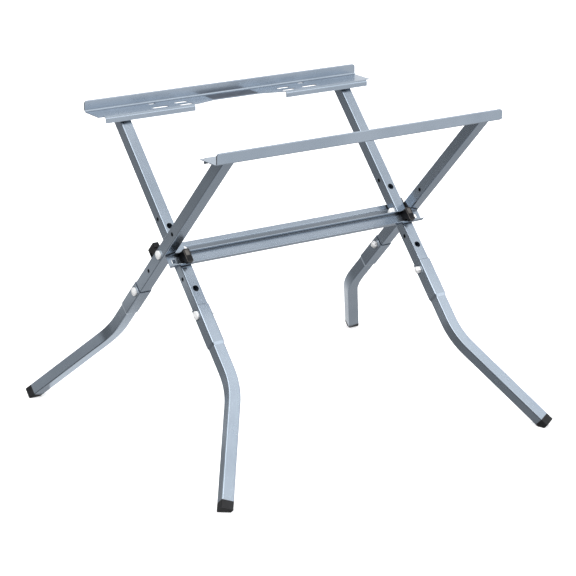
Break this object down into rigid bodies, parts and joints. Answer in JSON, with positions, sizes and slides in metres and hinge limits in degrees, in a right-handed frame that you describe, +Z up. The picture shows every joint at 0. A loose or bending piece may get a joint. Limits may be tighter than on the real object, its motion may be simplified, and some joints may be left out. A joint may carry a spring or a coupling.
{
  "type": "folding saw stand",
  "caption": "Folding X-frame stand of bent square tube with two lipped top rails, crossing channel bars and splayed lower legs with rubber feet.",
  "frame": {"origin": "on the floor under the middle of the open stand", "axes": "+X along the rails to the right, +Y to the rear rail, +Z up"},
  "size_m": [0.8552, 0.7552, 0.6505],
  "materials": {
    "paint": "glossy metallic blue-grey paint",
    "zinc": "bright zinc plating",
    "rubber": "moulded matt rubber",
    "black_plastic": "moulded black plastic",
    "label": "blank dark label"
  },
  "bodies": {
    "inner_frame": {"rear_rail": "paint", "label_plate": "label", "inner_tube_left": "paint", "inner_tube_right": "paint", "inner_leg_left": "paint", "inner_leg_right": "paint", "inner_foot_left": "rubber", "inner_foot_right": "rubber", "front_crossbar": "paint", "front_block_left": "black_plastic", "front_block_right": "black_plastic", "front_bar_rivets": "zinc", "inner_leg_bolts": "zinc", "inner_leg_nuts": "zinc", "pivot_bushes": "black_plastic"},
    "outer_frame": {"front_rail": "paint", "outer_tube_left": "paint", "outer_tube_right": "paint", "outer_leg_left": "paint", "outer_leg_right": "paint", "outer_foot_left": "rubber", "outer_foot_right": "rubber", "rear_crossbar": "paint", "rear_block_left": "black_plastic", "rear_block_right": "black_plastic", "rear_bar_rivets": "zinc", "outer_leg_bolts": "zinc", "outer_leg_nuts": "zinc", "pivot_bolts": "zinc", "pivot_washers": "zinc", "pivot_nuts": "zinc"}
  },
  "joints": [
    {"name": "fold", "type": "hinge", "parent": "inner_frame", "child": "outer_frame", "pos_m": [0, 0, 0.39], "axis": [-1, 0, 0], "range_deg": [0, 72]}
  ]
}
